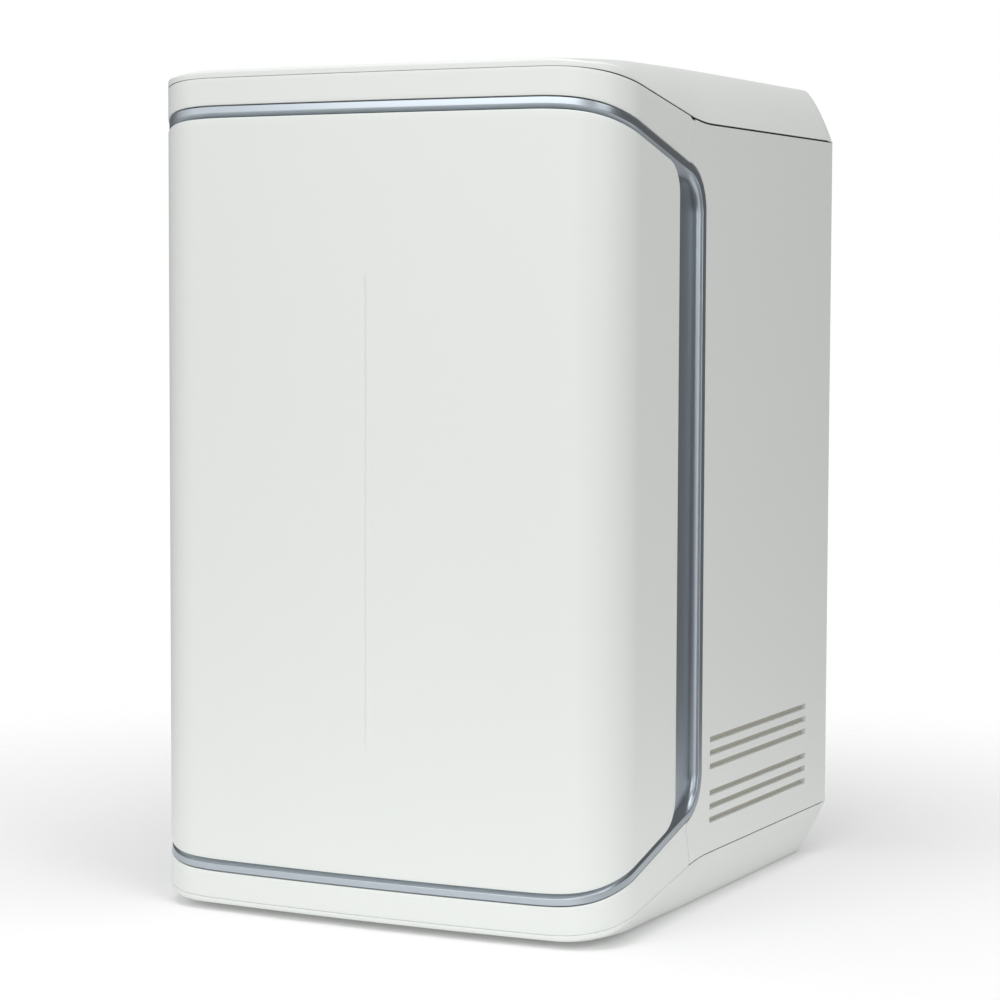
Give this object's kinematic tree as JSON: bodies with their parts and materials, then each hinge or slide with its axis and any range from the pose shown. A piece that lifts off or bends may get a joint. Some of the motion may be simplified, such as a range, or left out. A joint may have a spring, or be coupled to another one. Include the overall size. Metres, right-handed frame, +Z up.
{
  "type": "lab water purification system",
  "caption": "Tall white bench unit with a bowed wrap-round front door in a silver groove, sloping side facets, side vent slots, and a bay behind the door for cartridge packs.",
  "frame": {"origin": "on the bench, under the middle of the case", "axes": "+Z up, +X to the viewer's right when facing the door, -Y out of the door"},
  "size_m": [0.3052, 0.3492, 0.5],
  "materials": {
    "white_shell": "satin, moulded, painted off-white",
    "silver_trim": "satin silver finish",
    "grey_moulding": "fine moulded texture",
    "black_plastic": "moulded",
    "rubber_foot": "moulded rubber",
    "seal_rubber": "smooth seal",
    "blue_ring": "moulded",
    "pack_white": "moulded polypropylene",
    "sheet_metal": "powder coat",
    "steel_part": "zinc plated or stainless",
    "aluminium_part": "machined",
    "pump_plastic": "glass filled nylon",
    "lamp_glass": "quartz",
    "board_green": "solder mask",
    "tube_white": "polyethylene tube",
    "collet_white": "acetal"
  },
  "bodies": {
    "case": {"top_cover": "white_shell", "base_tray": "white_shell", "rubber_feet": "rubber_foot", "upper_bezel": "white_shell", "lower_bezel": "white_shell", "side_panel_left": "white_shell", "side_panel_right": "white_shell", "vent_screen_left": "grey_moulding", "vent_screen_right": "grey_moulding", "trim_ring": "silver_trim", "service_bay": "grey_moulding", "door_magnets": "steel_part", "hinge_bracket_lower": "steel_part", "hinge_bracket_upper": "steel_part", "hinge_pins": "steel_part", "pack_head_left": "grey_moulding", "pack_head_right": "grey_moulding", "chassis": "sheet_metal", "rear_panel": "sheet_metal", "case_screws": "steel_part", "reverse_osmosis_housing": "pack_white", "reverse_osmosis_caps": "pack_white", "deionisation_core": "pack_white", "deionisation_end_plates": "aluminium_part", "deionisation_tie_rods": "steel_part", "ultraviolet_reactor": "steel_part", "ultraviolet_lamp": "lamp_glass", "feed_pump_motor": "steel_part", "feed_pump_head": "pump_plastic", "recirculation_pump_motor": "steel_part", "recirculation_pump_head": "pump_plastic", "power_supply": "sheet_metal", "control_board": "board_green", "mains_inlet": "black_plastic", "switch_frame": "black_plastic", "fan_frame": "grey_moulding", "fan_guard": "steel_part", "valve_manifold": "black_plastic", "solenoid_valves": "black_plastic", "conductivity_cells": "steel_part", "drain_port": "black_plastic", "product_port": "black_plastic", "feed_port": "black_plastic", "internal_tubes": "tube_white"},
    "door": {"door_skin": "white_shell", "door_liner": "grey_moulding", "door_strikes": "steel_part", "hinge_arm_lower": "steel_part", "hinge_arm_upper": "steel_part"},
    "left_lock_ring": {"lock_ring_left": "blue_ring"},
    "right_lock_ring": {"lock_ring_right": "blue_ring"},
    "left_pack": {"pretreatment_pack": "pack_white", "o_rings_left": "seal_rubber"},
    "right_pack": {"polishing_pack": "pack_white", "o_rings_right": "seal_rubber"},
    "rocker": {"rocker_switch": "black_plastic"},
    "fan": {"fan_rotor": "black_plastic"},
    "drain_push_ring": {"drain_collet": "collet_white"},
    "product_push_ring": {"product_collet": "collet_white"},
    "feed_push_ring": {"feed_collet": "collet_white"}
  },
  "joints": [
    {"name": "door_hinge", "type": "hinge", "parent": "case", "child": "door", "pos_m": [-0.1456, -0.0751, 0.251], "axis": [0, 0, -1], "range_deg": [0, 95]},
    {"name": "left_pack_drop", "type": "slide", "parent": "case", "child": "left_pack", "axis": [0, 0, -1], "range_m": [0, 0.012]},
    {"name": "right_pack_drop", "type": "slide", "parent": "case", "child": "right_pack", "axis": [0, 0, -1], "range_m": [0, 0.012]},
    {"name": "left_lock_ring_turn", "type": "hinge", "parent": "case", "child": "left_lock_ring", "pos_m": [-0.059, -0.0786, 0.3715], "axis": [0, 0, 1], "range_deg": [0, 60]},
    {"name": "right_lock_ring_turn", "type": "hinge", "parent": "case", "child": "right_lock_ring", "pos_m": [0.059, -0.0786, 0.3715], "axis": [0, 0, 1], "range_deg": [0, 60]},
    {"name": "rocker_switch_tilt", "type": "hinge", "parent": "case", "child": "rocker", "pos_m": [0.104, 0.1526, 0.208], "axis": [-1, 0, 0], "range_deg": [0, 18]},
    {"name": "fan_rotor_spin", "type": "hinge", "parent": "case", "child": "fan", "pos_m": [0.084, 0.1526, 0.116], "axis": [0, 1, 0], "continuous": true},
    {"name": "drain_collet_push", "type": "slide", "parent": "case", "child": "drain_push_ring", "axis": [0, -1, 0], "range_m": [0, 0.0015]},
    {"name": "product_collet_push", "type": "slide", "parent": "case", "child": "product_push_ring", "axis": [0, -1, 0], "range_m": [0, 0.0015]},
    {"name": "feed_collet_push", "type": "slide", "parent": "case", "child": "feed_push_ring", "axis": [0, -1, 0], "range_m": [0, 0.0015]}
  ],
  "couplings": [
    {"joint": "left_lock_ring_turn", "follows": "left_pack_drop", "rad_per_m": 87.26},
    {"joint": "right_lock_ring_turn", "follows": "right_pack_drop", "rad_per_m": 87.26}
  ]
}
